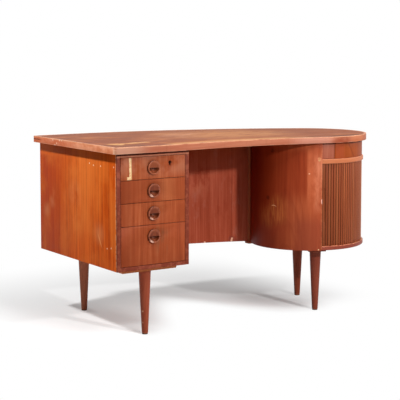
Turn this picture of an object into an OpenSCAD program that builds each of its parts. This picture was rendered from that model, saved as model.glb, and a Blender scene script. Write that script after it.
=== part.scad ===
// Kidney-shaped writing desk: a pedestal of four drawers, an open kneehole with a curved
// modesty panel, and a round cabinet closed by a tambour. All sizes are in millimetres.
// X runs to the sitter's right, Y away from the sitter and Z up.
// The origin is on the floor, under the centre of the worktop's overall plan.

/* [Worktop] */
// Overall width of the worktop
top_w = 1288; // [1250:1:1400]
// Height of the writing surface above the floor
top_h = 725; // [700:1:760]
// Thickness of the worktop
top_t = 25; // [20:1:32]
// Width of the solid lipping round the worktop
lip_w = 9; // [5:1:14]
// Overhang past the pedestal's left side
over_left = 22; // [8:1:35]
// Overhang past the drawer fronts
over_front = 27; // [15:1:40]
// Overhang past the back edges of the case
over_back = 21; // [8:1:35]
// Overhang past the drum's shell
over_drum = 10; // [4:1:20]
// Length of the straight part of the back edge, from the pedestal's left side
back_straight = 170; // [100:5:300]
// Distance from the pedestal's left side to the deepest point of the front hollow
hollow_x = 510; // [460:5:560]
// Depth of the front hollow
hollow_d = 21; // [12:1:35]
// Radius that blends the straight front edge into the hollow
blend_r = 900; // [500:50:1100]
// Radius of the two left corners
corner_r = 12; // [4:1:20]

/* [Case] */
// Height of the case's underside above the floor
case_z = 262; // [230:1:300]
// Thickness of the side panels, dividers and modesty panel
panel_t = 16; // [12:1:20]
// Thickness of the pedestal's top and bottom boards
board_t = 15; // [12:1:20]
// Thickness of the solid lippings on the side panels' front edges
edge_t = 6; // [3:1:10]
// Distance from the worktop's back edge to the modesty panel's front face
modesty_in = 215; // [190:1:230]
// Radius of the bead in the corner of modesty panel and drum
bead_r = 11; // [6:1:16]
// Drop of the bead's foot below the case
bead_drop = 8; // [4:1:12]
// Width of the small foot under the strip
bead_foot = 30; // [24:1:40]

/* [Pedestal and drawers] */
// Width of the pedestal
ped_w = 314; // [290:1:360]
// Depth of the pedestal's left side
ped_d = 631; // [610:1:680]
// Height of each of the three small drawer fronts
small_h = 84; // [76:1:90]
// Gap above and below each drawer front
front_gap = 1.5; // [1:0.1:2.5]
// Gap on each side of a drawer front
side_gap = 1; // [0.6:0.1:1.5]
// Thickness of the drawer fronts
front_t = 18; // [16:1:22]
// Thickness of the drawer sides and backs
box_t = 12; // [10:1:14]
// Thickness of the drawer bottoms
bottom_t = 4; // [3:0.5:6]
// Depth of the grooves that hold the drawer bottoms
bottom_let = 5; // [3:0.5:6]
// Gap between the drawers' backs and the modesty panel
drawer_clear = 12; // [8:1:50]
// Height that a drawer's sides lose at the top and at the bottom
side_drop = 8; // [5:1:12]
// Height of the hardwood runners
runner_h = 10; // [8:0.5:14]
// Distance that the runners stand out from the panels
runner_out = 6; // [5:0.5:8]
// Gap between a runner and its groove
runner_gap = 0.2; // [0.1:0.05:0.4]

/* [Drawer pulls and lock] */
// Radius of a pull's rim
pull_r = 26.5; // [25.5:0.5:30]
// Distance from a drawer front's top edge down to the pull's centre
pull_drop = 42; // [38:1:46]
// Radius of the turned body behind the rim
pull_body_r = 24; // [22:0.5:25]
// Depth of the pull's body in the drawer front
pull_depth = 13; // [10:0.5:14.5]
// Height of a pull's rim in front of the drawer front
rim_h = 7; // [5:0.5:9]
// Depth of the dish in the pull's face
dish_h = 1.6; // [0.4:0.2:2.6]
// Radius of the finger scoop at the pull's face
scoop_r = 20.5; // [17:0.5:21]
// Distance of the scoop's straight upper edge below the pull's centre
scoop_drop = 0.5; // [0:0.5:5]
// Distance from the pull's centre to the keyhole
lock_x = 72; // [60:1:90]
// Distance from the drawer front's top edge down to the keyhole's centre
lock_drop = 25; // [24:1:34]
// Width of the lock case
lock_w = 38; // [30:1:44]
// Height of the lock case
lock_h = 44; // [42:1:48]
// Thickness of the lock case
lock_t = 9; // [8:0.5:10]
// Travel of the lock's bolt
bolt_travel = 7; // [4:0.5:8]

/* [Drum] */
// Outer radius of the drum's shell
drum_r = 238; // [225:1:245]
// Distance of the drum's centre behind the drawer fronts
drum_y = 173; // [160:1:185]
// Thickness of the bent shell panels
shell_t = 7; // [5:0.5:9]
// Angle of the knee panel's edge, where the tambour starts
open_angle = 247; // [242:1:254]
// Angle from there to the edge of the rear panel
span_angle = 143; // [120:1:150]
// Thickness of the drum's base board
base_t = 17; // [15:1:22]
// Height of the fascia between the ring rail and the worktop
fascia_h = 66; // [50:1:90]
// Thickness of the upper track board
track_t = 20; // [16:1:24]
// Distance that the ring rail stands out from the shell's inner face
ring_out = 5; // [3:0.5:7]
// Depth of the two grooves that the tambour runs in
groove_d = 9; // [6:0.5:10]
// Thickness of the fascia above the ring rail
fascia_t = 6; // [4:0.5:8]
// Angle of the seam between the two fascia leaves, from the knee panel's edge
seam_angle = 13.3; // [8:0.1:30]
// Thickness of the crown board under the worktop
crown_t = 16; // [12:1:20]
// Thickness of the inner liner
liner_t = 5; // [4:0.5:7]
// Gap between the liner and the tambour
liner_gap = 4.5; // [2:0.5:8]
// Thickness of the shelf in the drum
shelf_t = 12; // [9:1:16]
// Height of that shelf above the drum's base board
shelf_up = 160; // [120:1:200]

/* [Tambour] */
// Width of one slat with its gap
slat_pitch = 12; // [10:0.5:15]
// Gap between two slats
slat_gap = 0.6; // [0.4:0.1:1]
// Thickness of a slat
slat_t = 7; // [5:0.5:8]
// Thickness of the canvas
canvas_t = 1; // [0.6:0.1:1.5]
// Gap between the tambour and the walls of its groove
tambour_gap = 0.5; // [0.3:0.1:1]
// Width of the lead stile
stile_w = 20; // [16:1:26]
// Length of the finger groove in the lead stile
grip_l = 140; // [80:5:180]
// Depth of that groove
grip_d = 2.5; // [1.5:0.5:3.5]
// Angle that the tambour turns to open
turn_angle = 130; // [100:1:130]

/* [Bookcase] */
// Distance from the pedestal's left side to the right divider
divider_x = 640; // [560:5:680]
// Height of the shelves above the bookcase's bottom
book_shelf_up = 205; // [160:1:260]
// Thickness of the shelves
book_shelf_t = 14; // [10:1:18]
// Depth of the end post at its thick end, as an angle round the drum
post_angle = 100; // [94:1:108]

/* [Stand] */
// Radius of a leg at its top
leg_r = 23.75; // [20:0.25:28]
// Radius of a leg at its foot
foot_r = 12; // [9:0.5:15]
// Thickness of the leg battens
batten_t = 14; // [10:1:20]
// Width of the leg battens
batten_w = 72; // [60:1:84]
// Length of the two pedestal battens
batten_l = 240; // [200:1:260]
// Chamfer on the battens' ends
batten_c = 3; // [2:1:12]
// Distance of the front left leg behind the drawer fronts
leg_in_front = 66; // [50:1:90]
// Distance of the rear left leg from the left side's back edge
leg_in_back = 76; // [60:1:100]
// Distance of each right leg from the drum's centre
drum_leg_r = 147; // [120:1:165]
// Angle of the line through the two right legs
drum_leg_angle = 66.5; // [40:0.5:90]
// Height of the glides under the feet
glide_h = 3; // [2:0.5:6]
// Radius of a hanger bolt
bolt_r = 4; // [3:0.5:5]
// Length of a hanger bolt inside the leg
bolt_in = 35; // [25:1:60]

/* [Hidden] */
$fn = 96;

// Clearance of a turned or drilled piece in its hole
fit_gap = 0.05;
// Gap at a glued or butted joint between two pieces of one drawer
glue_gap = 0.1;

case_top = top_h - top_t;
case_h = case_top - case_z;
end_r = drum_r + over_drum;
drum_x = top_w - over_left - end_r;
back_y = ped_d + over_back;
centre = [top_w / 2 - over_left, (back_y + drum_y - end_r) / 2];

// The back edge: a straight part, then one arc that runs into the round end
back_r = (pow(drum_x - back_straight, 2) + pow(back_y - drum_y, 2) - pow(end_r, 2))
    / (2 * (back_y - drum_y - end_r));
back_c = [back_straight, back_y - back_r];
// The front hollow: one arc that runs into the round end
hollow_y = hollow_d - over_front;
hollow_r = (pow(drum_x - hollow_x, 2) + pow(drum_y - hollow_y, 2) - pow(end_r, 2))
    / (2 * (end_r - drum_y + hollow_y));
hollow_c = [hollow_x, hollow_y - hollow_r];
blend_c = [hollow_x - sqrt(hollow_d * (2 * (hollow_r + blend_r) - hollow_d)),
    blend_r - over_front];

drum_c = [drum_x, drum_y];
back_u = (drum_c - back_c) / norm(drum_c - back_c);
hollow_u = (hollow_c - drum_c) / norm(hollow_c - drum_c);
blend_u = (blend_c - hollow_c) / norm(blend_c - hollow_c);

// The modesty panel's front face at a distance from the pedestal's left side
function modesty_y(x) = back_c.y + sqrt(pow(back_r - modesty_in, 2) - pow(x - back_c.x, 2));

// Angle on the drum's shell at which a line parallel to the back edge meets it
function shell_angle(inset) = let (span = norm(drum_c - back_c))
    atan2(back_u.y, back_u.x)
    + acos((pow(back_r - inset, 2) - span * span - drum_r * drum_r) / (2 * span * drum_r));
modesty_a = shell_angle(modesty_in);
shell_seam_a = shell_angle(modesty_in - panel_t / 2);
rear_a = open_angle + span_angle - 360;

// Drawers, counted from the top
slot_top = case_top - board_t;
deep_h = case_h - 2 * board_t - 3 * small_h - 5 * front_gap;
function front_h(i) = i < 4 ? small_h : deep_h;
function front_z(i) = slot_top - i * (small_h + front_gap) - (i < 4 ? 0 : deep_h - small_h);
inner_w = ped_w - 2 * panel_t;
box_x0 = panel_t + side_gap;
box_x1 = ped_w - panel_t - side_gap;
drawer_l = modesty_y(box_x1) - drawer_clear;
pull_x = ped_w / 2;
key_x = pull_x + lock_x;
lock_top = slot_top - front_gap;
bolt_w = 14;
bolt_t = 5;
bolt_h = 22;
bolt_y = front_t - lock_t / 2;

// Drum, from the outside in and from the base up
shell_in = drum_r - shell_t;
tambour_r = shell_in - tambour_gap;
slat_in = tambour_r - slat_t;
canvas_in = slat_in - canvas_t;
groove_in = canvas_in - tambour_gap;
liner_r = canvas_in - liner_gap;
base_top = case_z + base_t;
track_top = case_top - fascia_h;
track_z = track_top - track_t;
shelf_z = base_top + shelf_up;
shelf_r = liner_r - liner_t - 0.3;
slide_gap = 0.3;
tambour_z0 = base_top - groove_d + slide_gap;
tambour_z1 = track_z + groove_d - slide_gap;
slat_a = slat_pitch / tambour_r * 180 / PI;
stile_a = stile_w / tambour_r * 180 / PI;
tambour_a0 = open_angle - 1;
slat_n = ceil((span_angle + 4 - stile_a) / slat_a);
tambour_span = stile_a + slat_n * slat_a;
stop_a = 1.5;
pin_r = 3;
plug_r = 2.5;

leg_top = case_z - batten_t;
left_legs = [[ped_w / 2, leg_in_front], [ped_w / 2, ped_d - leg_in_back]];
right_legs = [for (s = [-1, 1]) drum_c + s * drum_leg_r * [cos(drum_leg_angle), sin(drum_leg_angle)]];
legs = concat(left_legs, right_legs);

screw_r = 2;
screw_head_r = 4;
screw_l = 28;
batten_screw_l = batten_t + 10;

teak = "#b45a2c";
teak_dark = "#7d3a22";
teak_side = "#c8642a";
beech = "#d8b383";
steel = "#9a9a9a";
brass = "#b08d45";

// Outline helpers, in plan
module place() {
    translate([-centre.x, -centre.y, 0]) children();
}

module corner_cut(corner, r, turn) {
    translate(corner) rotate(turn) difference() {
        translate([-1, -1]) square(r + 1);
        translate([r, r]) circle(r = r);
    }
}

module top_outline(inset = 0) {
    x0 = inset - over_left;
    y0 = inset - over_front;
    y1 = back_y - inset;
    blend_end = hollow_c + (hollow_r + inset) * blend_u;
    out_back = back_c + (back_r + 60) * back_u;
    out_front = drum_c + (end_r + 60) * hollow_u;
    difference() {
        union() {
            translate(drum_c) circle(r = end_r - inset, $fn = 360);
            translate([x0, y0]) square([back_straight - x0, y1 - y0]);
            intersection() {
                translate(back_c) circle(r = back_r - inset, $fn = 1440);
                polygon([[back_straight, y0], [back_straight, back_y + 150], out_back, drum_c,
                    out_front, [hollow_x, out_front.y], [hollow_x, y0]]);
            }
        }
        translate(hollow_c) circle(r = hollow_r + inset, $fn = 1440);
        difference() {
            translate([blend_c.x, y0 - 1])
                square([blend_end.x - blend_c.x, blend_end.y - y0 + 1]);
            translate(blend_c) circle(r = blend_r - inset, $fn = 1440);
        }
        if (corner_r > inset) {
            corner_cut([x0, y0], corner_r - inset, 0);
            corner_cut([x0, y1], corner_r - inset, -90);
        }
    }
}

// Everything on the sitter's side of a line parallel to the back edge
module ahead_of(inset) {
    translate([-over_left, -2 * over_front])
        square([back_straight + over_left, back_y - inset + 2 * over_front]);
    intersection() {
        translate(back_c) circle(r = back_r - inset, $fn = 1440);
        translate([back_straight, -2 * over_front]) square([drum_x + drum_r, 2 * back_y]);
    }
}

// A strip parallel to the back edge, between two insets, from x0 to x1 and outside the drum
module back_strip(inset_out, inset_in, x0, x1) {
    difference() {
        intersection() {
            ahead_of(inset_out);
            translate([x0, 0]) square([x1 - x0, back_y]);
        }
        ahead_of(inset_in);
        translate(drum_c) circle(r = drum_r, $fn = 360);
    }
}

// A slice of a ring round the drum's axis
module arc_ring(r0, r1, a0, a1, z0, z1) {
    translate([drum_c.x, drum_c.y, z0]) rotate(a0)
        rotate_extrude(angle = a1 - a0, $fn = 360)
            translate([r0, 0]) square([r1 - r0, z1 - z0]);
}

// The same with its two outer arrises rounded
module nosed_ring(r0, r1, a0, a1, z0, z1, nose) {
    translate([drum_c.x, drum_c.y, z0]) rotate(a0)
        rotate_extrude(angle = a1 - a0, $fn = 360) {
            translate([r0, 0]) square([r1 - nose - r0, z1 - z0]);
            translate([r0, nose]) square([r1 - r0, z1 - z0 - 2 * nose]);
            for (z = [nose, z1 - z0 - nose]) translate([r1 - nose, z]) circle(r = nose, $fn = 32);
        }
}

module drum_disc(r, z0, z1) {
    translate([drum_c.x, drum_c.y, z0]) cylinder(r = r, h = z1 - z0, $fn = 360);
}

// A point on the drum, at a radius and an angle, with X turned outwards
module at_drum(r, a, z) {
    translate([drum_c.x, drum_c.y, z]) rotate(a) translate([r, 0, 0]) children();
}

// Screws: the head is countersunk, and the tip points up
module screw_shape(gap = 0, length = screw_l) {
    cylinder(r1 = screw_head_r + gap, r2 = screw_r + gap, h = 3, $fn = 32);
    cylinder(r = screw_r + gap, h = length + gap, $fn = 32);
}

module batten_screws_at() {
    for (p = left_legs, sx = [-1, 1], sy = [-1, 1])
        translate([p.x + sx * batten_l * 0.36, p.y + sy * batten_w * 0.3, leg_top]) children();
    for (s = [-1, 1], t = [-1, 1])
        translate([drum_c.x, drum_c.y, leg_top]) rotate(drum_leg_angle)
            translate([s * drum_leg_r * 0.45, t * batten_w * 0.3, 0]) children();
}

module top_screws_at() {
    for (x = [box_x0 + 40, box_x1 - 40], y = [90, 330])
        translate([x, y, case_top - board_t]) children();
    for (a = [45:90:315]) at_drum(drum_r * 0.6, a, case_top - crown_t) children();
}

// Worktop
module worktop_core() {
    color(teak) place() difference() {
        translate([0, 0, case_top]) linear_extrude(top_t) top_outline(lip_w);
        top_screws_at() screw_shape(fit_gap);
    }
}

module worktop_lipping() {
    color(teak_dark) place() translate([0, 0, case_top]) linear_extrude(top_t) difference() {
        top_outline();
        top_outline(lip_w);
    }
}

// Pedestal and back
module left_side_panel() {
    color(teak_side) place() translate([0, edge_t, case_z])
        cube([panel_t, ped_d - edge_t, case_h]);
}

module inner_side_panel() {
    color(teak_side) place() translate([0, 0, case_z]) linear_extrude(case_h) intersection() {
        translate([ped_w - panel_t, edge_t]) square([panel_t, ped_d]);
        ahead_of(modesty_in);
    }
}

module side_front_lippings() {
    color(teak_dark) place() for (x = [0, ped_w - panel_t])
        translate([x, 0, case_z]) cube([panel_t, edge_t, case_h]);
}

module pedestal_board(z0) {
    translate([0, 0, z0]) linear_extrude(board_t) intersection() {
        translate([panel_t, 0]) square([inner_w, ped_d]);
        ahead_of(modesty_in);
    }
}

module pedestal_top_board() {
    color(teak_dark) place() difference() {
        pedestal_board(slot_top);
        top_screws_at() screw_shape(fit_gap);
        translate([key_x - bolt_w / 2 - 1, bolt_y - bolt_t / 2 - 0.5, slot_top - 1])
            cube([bolt_w + 2, bolt_t + 1, bolt_travel + 2]);
    }
}

module pedestal_bottom_board() {
    color(teak_dark) place() difference() {
        pedestal_board(case_z);
        batten_screws_at() screw_shape(fit_gap, batten_screw_l);
        hanger_bolt_shapes(fit_gap);
    }
}

module modesty_panel() {
    color(teak) place() translate([0, 0, case_z]) linear_extrude(case_h)
        back_strip(modesty_in - panel_t, modesty_in, panel_t, drum_x);
}

module junction_bead() {
    corner = drum_c + drum_r * [cos(modesty_a), sin(modesty_a)];
    color(teak_dark) place() translate([0, 0, case_z - bead_drop]) {
        linear_extrude(case_h + bead_drop) difference() {
            intersection() {
                translate(corner) circle(r = bead_r, $fn = 32);
                ahead_of(modesty_in);
            }
            translate(drum_c) circle(r = drum_r, $fn = 360);
        }
        translate([corner.x - bead_foot * 0.6, corner.y - bead_foot * 0.6])
            cube([bead_foot, bead_foot, bead_drop]);
    }
}

// Drawers
module runner_at(i, x, gap = 0) {
    len_gap = gap > 0 ? 20 : 0;
    translate([x, front_t + 2 - len_gap, front_z(i) + (front_h(i) - runner_h) / 2 - gap])
        cube([runner_out + gap, drawer_l - front_t - 4 + 2 * len_gap, runner_h + 2 * gap]);
}

module drawer_runners() {
    color(beech) place() for (i = [1:4], x = [panel_t, ped_w - panel_t - runner_out])
        runner_at(i, x);
}

module drawer_bottom_plate(i, gap = 0) {
    translate([box_x0 + box_t - bottom_let - gap, front_t - bottom_let - gap,
        front_z(i) + 2 * side_drop - gap])
        cube([box_x1 - box_x0 - 2 * (box_t - bottom_let - gap),
            drawer_l - front_t + bottom_let + 2 * gap, bottom_t + 2 * gap]);
}

module keyhole() {
    circle(r = 4.8, $fn = 48);
    polygon([[-2.4, 0], [2.4, 0], [2.4, -6], [4.1, -13.2], [-4.1, -13.2], [-2.4, -6]]);
}

module drawer_front(i) {
    z1 = front_z(i) + front_h(i);
    color(teak) place() difference() {
        translate([box_x0, 0, front_z(i)]) cube([box_x1 - box_x0, front_t, front_h(i)]);
        drawer_bottom_plate(i, glue_gap);
        translate([pull_x, -1, z1 - pull_drop]) rotate([-90, 0, 0])
            cylinder(r = pull_body_r + fit_gap, h = pull_depth + 1 + fit_gap);
        if (i == 1) {
            translate([key_x, front_t, z1 - lock_drop]) rotate([90, 0, 0])
                linear_extrude(2 * front_t) keyhole();
            translate([key_x - lock_w / 2 - fit_gap, front_t - lock_t - fit_gap,
                lock_top - lock_h - fit_gap])
                cube([lock_w + 2 * fit_gap, lock_t + 1, lock_h + 1]);
        }
    }
}

module drawer_box(i) {
    z0 = front_z(i) + side_drop;
    h = front_h(i) - 2 * side_drop;
    color(beech) place() {
        difference() {
            for (x = [box_x0, box_x1 - box_t])
                translate([x, front_t + glue_gap, z0]) cube([box_t, drawer_l - front_t - glue_gap, h]);
            drawer_bottom_plate(i, glue_gap);
            runner_at(i, panel_t, runner_gap);
            runner_at(i, ped_w - panel_t - runner_out - runner_gap, runner_gap);
        }
        zb = front_z(i) + 2 * side_drop + bottom_t + glue_gap;
        translate([box_x0 + box_t + glue_gap, drawer_l - box_t, zb])
            cube([box_x1 - box_x0 - 2 * (box_t + glue_gap), box_t, z0 + h - zb]);
    }
}

module drawer_bottom(i) {
    color(beech) place() drawer_bottom_plate(i);
}

// A turned pull along +Z: a proud disc with a rounded rim and a dished face. Below the scoop's
// straight edge a ball-shaped finger scoop opens, which runs on behind the upper half.
module pull_shape() {
    arris = 2.4;
    lip_t = 4;
    face_r = pull_r - arris;
    face_z = rim_h - dish_h;
    deep = pull_depth - 2.5;
    ball_c = (scoop_r * scoop_r + face_z * face_z - deep * deep) / (2 * (deep + face_z));
    rim = [for (k = [0:5]) let (a = 18 * k) [face_r + arris * cos(a), rim_h - arris + arris * sin(a)]];
    dish = [for (k = [1:6]) let (r = face_r * (1 - k / 6))
        [r, rim_h - dish_h * (1 - pow(r / face_r, 2))]];
    difference() {
        rotate_extrude() polygon(concat([[0, -pull_depth], [pull_body_r, -pull_depth],
            [pull_body_r, 0], [pull_r, 0]], rim, dish));
        intersection() {
            translate([0, 0, ball_c]) sphere(r = ball_c + deep);
            union() {
                translate([-pull_r, -2 * pull_r - scoop_drop, -pull_depth])
                    cube([2 * pull_r, 2 * pull_r, pull_depth + 2 * rim_h]);
                translate([-pull_r, -pull_r, -pull_depth])
                    cube([2 * pull_r, 2 * pull_r, pull_depth + face_z - lip_t]);
            }
        }
    }
}

module drawer_pull(i) {
    color(teak_dark) place()
        translate([pull_x, 0, front_z(i) + front_h(i) - pull_drop]) rotate([90, 0, 0]) pull_shape();
}

// Lock of the top drawer
module bolt_block(gap = 0) {
    translate([key_x - bolt_w / 2 - gap, bolt_y - bolt_t / 2 - gap, lock_top - bolt_h - gap])
        cube([bolt_w + 2 * gap, bolt_t + 2 * gap, bolt_h + 2 * gap]);
}

module lock_case() {
    color(brass) place() difference() {
        translate([key_x - lock_w / 2, front_t - lock_t, lock_top - lock_h])
            cube([lock_w, lock_t, lock_h]);
        bolt_block(0.2);
        translate([key_x, front_t - lock_t + 2, lock_top - lock_drop]) rotate([90, 0, 0])
            linear_extrude(4) keyhole();
    }
}

module lock_bolt() {
    color(steel) place() bolt_block();
}

// Bookcase behind the modesty panel
module bookcase_bottom() {
    color(teak) place() difference() {
        translate([0, 0, case_z]) linear_extrude(panel_t)
            back_strip(over_back, modesty_in - panel_t, panel_t, end_post_x());
        batten_screws_at() screw_shape(fit_gap, batten_screw_l);
        hanger_bolt_shapes(fit_gap);
    }
}

function end_post_x() = drum_x + drum_r * cos(post_angle);

module divider(x) {
    color(teak) place() translate([0, 0, case_z + panel_t]) linear_extrude(case_h - panel_t)
        back_strip(over_back, modesty_in - panel_t, x, x + panel_t);
}

module bookcase_shelves() {
    bays = [[panel_t, ped_w - panel_t], [ped_w, divider_x], [divider_x + panel_t, end_post_x()]];
    color(teak) place() for (bay = bays)
        translate([0, 0, case_z + panel_t + book_shelf_up]) linear_extrude(book_shelf_t)
            back_strip(over_back + 6, modesty_in - panel_t, bay[0], bay[1]);
}

module bookcase_end_post() {
    tip_x = drum_x + drum_r * cos(shell_angle(over_back)) - 4;
    color(teak_dark) place() translate([0, 0, case_z]) linear_extrude(case_h)
        back_strip(over_back, modesty_in - panel_t, end_post_x(), tip_x);
}

// Drum
module plug_holes() {
    for (a = [open_angle - 3.2, rear_a + 3.2], z = [case_z + (base_t - groove_d) / 2,
        track_top - (track_t - groove_d) / 2])
        at_drum(shell_in, a, z) rotate([0, 90, 0]) children();
}

module knee_curved_panel() {
    color(teak) place() difference() {
        arc_ring(shell_in, drum_r, shell_seam_a, open_angle, case_z, case_top);
        plug_holes() cylinder(r = plug_r + fit_gap, h = 3 * shell_t, center = true, $fn = 32);
    }
}

module rear_curved_panel() {
    color(teak) place() difference() {
        arc_ring(shell_in, drum_r, rear_a, shell_seam_a - 0.05, case_z, case_top);
        plug_holes() cylinder(r = plug_r + fit_gap, h = 3 * shell_t, center = true, $fn = 32);
    }
}

module panel_plugs() {
    color(beech) place() plug_holes()
        translate([0, 0, 0.1]) cylinder(r = plug_r, h = shell_t - 0.3, $fn = 32);
}

module drum_base_board() {
    color(teak_dark) place() difference() {
        drum_disc(shell_in, case_z, base_top);
        difference() {
            drum_disc(shell_in + 1, base_top - groove_d, base_top + 1);
            drum_disc(groove_in, base_top - groove_d - 1, base_top + 2);
        }
        batten_screws_at() screw_shape(fit_gap, batten_screw_l);
        hanger_bolt_shapes(fit_gap);
    }
}

module base_nosing() {
    color(teak_dark) place()
        nosed_ring(shell_in, drum_r, open_angle, open_angle + span_angle, case_z, base_top, 3);
}

module track_board() {
    color(teak_dark) place() difference() {
        drum_disc(shell_in, track_z, track_top);
        difference() {
            drum_disc(shell_in + 1, track_z - 1, track_z + groove_d);
            drum_disc(groove_in, track_z - 2, track_z + groove_d + 1);
        }
    }
}

module ring_rail() {
    color(teak) place() nosed_ring(shell_in, shell_in + ring_out, open_angle, open_angle + span_angle,
        track_z, track_top, 2.5);
}

module fascia(a0, a1) {
    color(teak) place() arc_ring(shell_in - fascia_t, shell_in, a0, a1, track_top, case_top);
}

module crown_board() {
    z0 = case_top - crown_t;
    color(beech) place() difference() {
        drum_disc(shell_in, z0, case_top);
        arc_ring(shell_in - fascia_t, drum_r, open_angle, rear_a + 360, z0 - 1, case_top + 1);
        top_screws_at() screw_shape(fit_gap);
    }
}

module pin_places() {
    for (a = [60, 115, 170, 225]) at_drum(liner_r - 0.2, a, shelf_z - pin_r)
        rotate([0, -90, 0]) children();
}

module drum_liner() {
    color(teak_dark) place() difference() {
        arc_ring(liner_r - liner_t, liner_r, rear_a + 6, open_angle - 6, base_top, track_z);
        pin_places() cylinder(r = pin_r + fit_gap, h = 4 * liner_t, center = true, $fn = 32);
    }
}

module drum_shelf() {
    color(teak) place() drum_disc(shelf_r, shelf_z, shelf_z + shelf_t);
}

module shelf_pins() {
    color(brass) place() pin_places() cylinder(r = pin_r, h = liner_t + 12, $fn = 32);
}

// Tambour, shown closed
module tambour_slat() {
    w = slat_pitch - slat_gap;
    in_w = w - 0.5;
    linear_extrude(tambour_z1 - tambour_z0)
        polygon([[slat_in, -in_w / 2], [tambour_r - 1.8, -w / 2], [tambour_r, 1.5 - w / 2],
            [tambour_r, w / 2 - 1.5], [tambour_r - 1.8, w / 2], [slat_in, in_w / 2]]);
}

module tambour_slats() {
    color(teak) place() for (k = [0:slat_n - 1])
        translate([drum_c.x, drum_c.y, tambour_z0])
            rotate(tambour_a0 + stile_a + (k + 0.5) * slat_a) tambour_slat();
}

module tambour_lead_stile() {
    mid_z = (tambour_z0 + tambour_z1) / 2;
    groove_r = 8;
    color(teak) place() difference() {
        arc_ring(slat_in, tambour_r, tambour_a0, tambour_a0 + stile_a - 0.15,
            tambour_z0, tambour_z1);
        at_drum(tambour_r + groove_r - grip_d, tambour_a0 + stile_a * 0.62, mid_z)
            cylinder(r = groove_r, h = grip_l, center = true, $fn = 48);
    }
}

module tambour_canvas() {
    color(beech) place() arc_ring(canvas_in, slat_in, tambour_a0 + 0.5,
        tambour_a0 + tambour_span - 0.5, tambour_z0 + 8, tambour_z1 - 8);
}

module tambour_stops() {
    open_stop = tambour_a0 + tambour_span + turn_angle - 360 + 0.1;
    color(beech) place() for (a = [open_stop, tambour_a0 - 0.1 - stop_a])
        arc_ring(groove_in + 0.1, shell_in - 0.1, a, a + stop_a, base_top - groove_d, base_top);
}

// Stand
module hanger_bolt_shapes(gap = 0) {
    for (p = legs) translate([p.x, p.y, leg_top - bolt_in - gap])
        cylinder(r = bolt_r + gap, h = bolt_in + batten_t + 10 + 2 * gap, $fn = 48);
}

module batten(l, w) {
    translate([w / -2, 0, 0]) rotate([90, 0, 90]) linear_extrude(w)
        polygon([[-l / 2, batten_t], [l / 2, batten_t], [l / 2, batten_t / 2],
            [l / 2 - batten_c, 0], [batten_c - l / 2, 0], [-l / 2, batten_t / 2]]);
}

module pedestal_leg_battens() {
    color(teak_dark) place() difference() {
        for (p = left_legs) translate([p.x, p.y, leg_top]) rotate(90) batten(batten_l, batten_w);
        batten_screws_at() screw_shape(fit_gap, batten_screw_l);
        hanger_bolt_shapes(fit_gap);
    }
}

module drum_leg_batten() {
    color(teak_dark) place() difference() {
        translate([drum_c.x, drum_c.y, leg_top]) rotate(drum_leg_angle - 90)
            batten(2 * drum_leg_r + batten_w, batten_w);
        batten_screws_at() screw_shape(fit_gap, batten_screw_l);
        hanger_bolt_shapes(fit_gap);
    }
}

module leg(p) {
    color(teak_dark) place() difference() {
        translate([p.x, p.y, glide_h])
            cylinder(r1 = foot_r, r2 = leg_r, h = leg_top - glide_h, $fn = 96);
        hanger_bolt_shapes(fit_gap);
    }
}

module hanger_bolts() {
    color(steel) place() hanger_bolt_shapes();
}

module leg_glides() {
    color("#3c3a38") place() for (p = legs) translate([p.x, p.y, 0])
        cylinder(r = foot_r - 1, h = glide_h, $fn = 48);
}

module wood_screws() {
    color(steel) place() {
        batten_screws_at() screw_shape(0, batten_screw_l);
        top_screws_at() screw_shape();
    }
}

worktop_core();
worktop_lipping();
left_side_panel();
inner_side_panel();
side_front_lippings();
pedestal_top_board();
pedestal_bottom_board();
modesty_panel();
drawer_runners();
for (i = [1:4]) {
    drawer_front(i);
    drawer_box(i);
    drawer_bottom(i);
    drawer_pull(i);
}
lock_case();
lock_bolt();
bookcase_bottom();
divider(ped_w - panel_t);  // left_divider
divider(divider_x);  // right_divider
bookcase_shelves();
bookcase_end_post();
knee_curved_panel();
rear_curved_panel();
junction_bead();
drum_base_board();
base_nosing();
track_board();
ring_rail();
fascia(open_angle, open_angle + seam_angle - 0.05);  // front_fascia
fascia(open_angle + seam_angle, open_angle + span_angle);  // side_fascia
crown_board();
drum_liner();
drum_shelf();
shelf_pins();
tambour_lead_stile();
tambour_slats();
tambour_canvas();
tambour_stops();
panel_plugs();
pedestal_leg_battens();
drum_leg_batten();
leg(legs[0]);  // front_left_leg
leg(legs[1]);  // rear_left_leg
leg(legs[2]);  // front_right_leg
leg(legs[3]);  // rear_right_leg
hanger_bolts();
leg_glides();
wood_screws();
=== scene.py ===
# Kidney-shaped teak writing desk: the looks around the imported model.
# Lengths are in metres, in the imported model's own frame. Where a finish, a lamp or at() names a
# place on the desk, it is in millimetres: right of the left side, behind the drawer fronts and
# above the floor.
import math

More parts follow.
